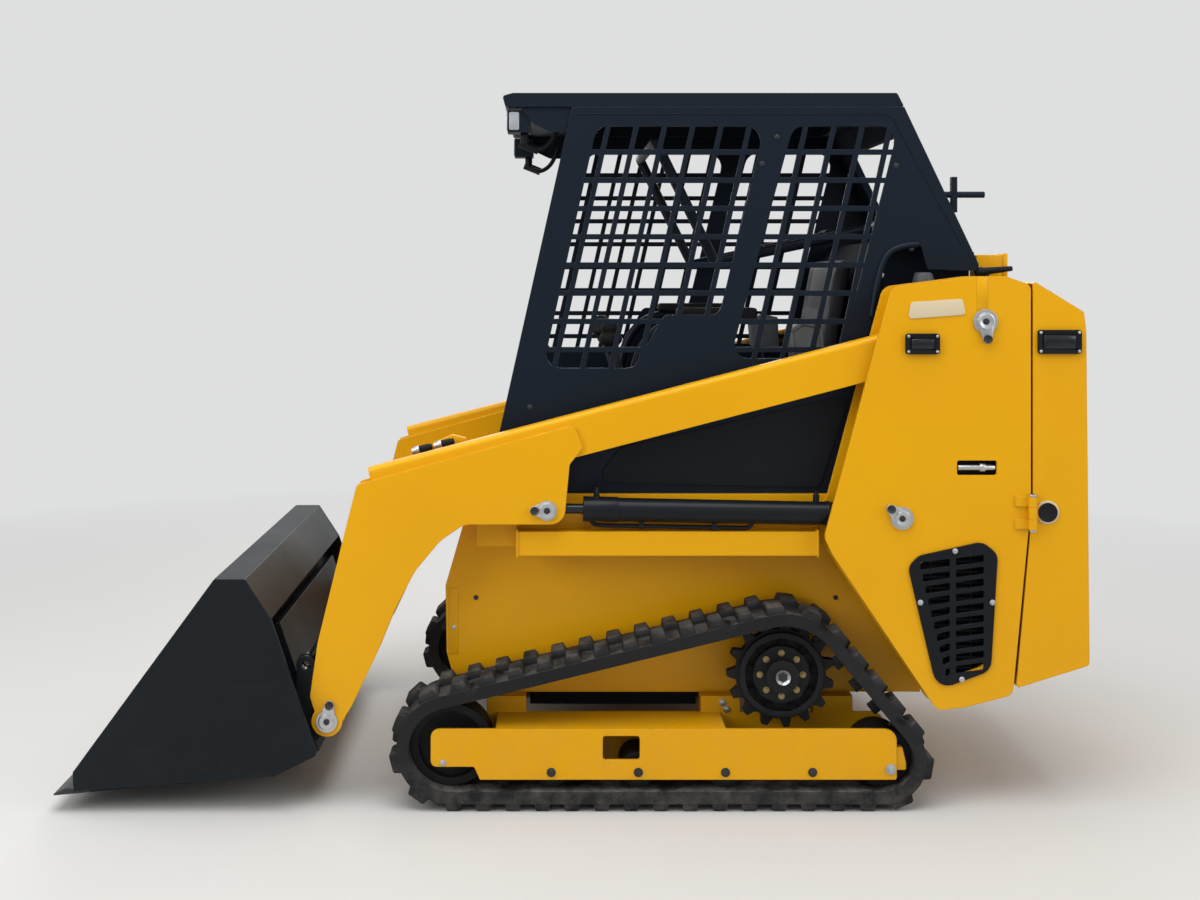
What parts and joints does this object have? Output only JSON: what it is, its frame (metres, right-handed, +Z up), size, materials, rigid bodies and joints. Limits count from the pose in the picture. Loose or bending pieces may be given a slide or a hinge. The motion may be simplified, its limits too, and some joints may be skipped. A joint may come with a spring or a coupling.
{
  "type": "compact track loader",
  "caption": "Compact track loader with an open-front caged cab, side lift arms, hydraulic cylinders, quick coupler and dirt bucket.",
  "frame": {"origin": "on the ground, midway along the length and width of the machine's box", "axes": "+X forward to the bucket, +Y to the machine's left, +Z up"},
  "size_m": [2.7959, 1.22, 1.955],
  "materials": {
    "yellow_paint": "semi-gloss",
    "black_paint": "satin",
    "rubber": "matte",
    "black_plastic": "matte",
    "seat_vinyl": "satin",
    "bright_steel": "satin",
    "dark_iron": "matte",
    "worn_steel": "satin"
  },
  "bodies": {
    "chassis": {"chassis_tub": "yellow_paint", "belly_guard": "black_paint", "step_rails": "yellow_paint", "track_left": "rubber", "track_right": "rubber", "track_frames": "yellow_paint", "front_idlers": "dark_iron", "rear_idlers": "dark_iron", "track_rollers": "dark_iron", "sprockets": "black_paint", "drive_motors": "black_paint", "engine_block": "dark_iron", "tower_left": "yellow_paint", "tower_right": "yellow_paint", "tower_grilles": "black_plastic", "pivot_pins": "bright_steel", "tower_lamps": "black_plastic", "hood": "yellow_paint", "cab_side_left": "black_paint", "cab_side_right": "black_paint", "cab_lower_panels": "black_plastic", "cab_roof": "black_paint", "cab_front": "black_paint", "cab_rear": "black_paint", "cab_floor": "black_paint", "seat_base": "black_plastic", "seat_cushion": "seat_vinyl", "seat_back": "seat_vinyl", "control_levers": "black_plastic", "work_lamps": "black_paint", "rear_handle": "black_paint"},
    "lap_bar": {"lap_bar": "black_paint"},
    "arms": {"arm_left": "yellow_paint", "arm_right": "yellow_paint", "arm_crossmember": "yellow_paint", "arm_pins": "bright_steel"},
    "lift_barrels": {"lift_barrels": "black_paint"},
    "lift_rods": {"lift_rods": "bright_steel"},
    "tilt_barrels": {"tilt_barrels": "black_paint"},
    "tilt_rods": {"tilt_rods": "bright_steel"},
    "bucket": {"coupler": "black_paint", "bucket_shell": "black_paint", "cutting_edge": "worn_steel"},
    "tailgate": {"tailgate": "yellow_paint", "tailgate_lamps": "black_plastic"}
  },
  "joints": [
    {"name": "lift", "type": "hinge", "parent": "chassis", "child": "arms", "pos_m": [-1.115, 0, 1.3195], "axis": [0, -1, 0], "range_deg": [0, 72]},
    {"name": "lift_barrel", "type": "hinge", "parent": "chassis", "child": "lift_barrels", "pos_m": [-0.889, 0, 0.787], "axis": [0, -1, 0], "range_deg": [0, 66.17]},
    {"name": "lift_rod", "type": "slide", "parent": "lift_barrels", "child": "lift_rods", "axis": [0.9998, 0, 0.0187], "range_m": [0, 0.66804]},
    {"name": "tilt", "type": "hinge", "parent": "arms", "child": "bucket", "pos_m": [0.67, 0, 0.232], "axis": [0, 1, 0], "range_deg": [-24, 104]},
    {"name": "tilt_barrel", "type": "hinge", "parent": "arms", "child": "tilt_barrels", "pos_m": [0.42, 0, 0.845], "axis": [0, 1, 0], "range_deg": [-0.72, 3.12]},
    {"name": "tilt_rod", "type": "slide", "parent": "tilt_barrels", "child": "tilt_rods", "axis": [0.5547, 0, -0.8321], "range_m": [-0.05616, 0.24338]},
    {"name": "tailgate_hinge", "type": "hinge", "parent": "chassis", "child": "tailgate", "pos_m": [-1.24, 0.5875, 0.8], "axis": [0, 0, -1], "range_deg": [0, 100]},
    {"name": "lap_bar_hinge", "type": "hinge", "parent": "chassis", "child": "lap_bar", "pos_m": [-0.872, 0, 1.58], "axis": [0, 1, 0], "range_deg": [0, 55]}
  ],
  "couplings": [
    {"joint": "lift_barrel", "follows": "lift", "ratio": 0.91905},
    {"joint": "lift_rod", "follows": "lift", "m_per_rad": 0.53161},
    {"joint": "tilt_barrel", "follows": "tilt", "ratio": 0.03},
    {"joint": "tilt_rod", "follows": "tilt", "m_per_rad": 0.13408}
  ]
}
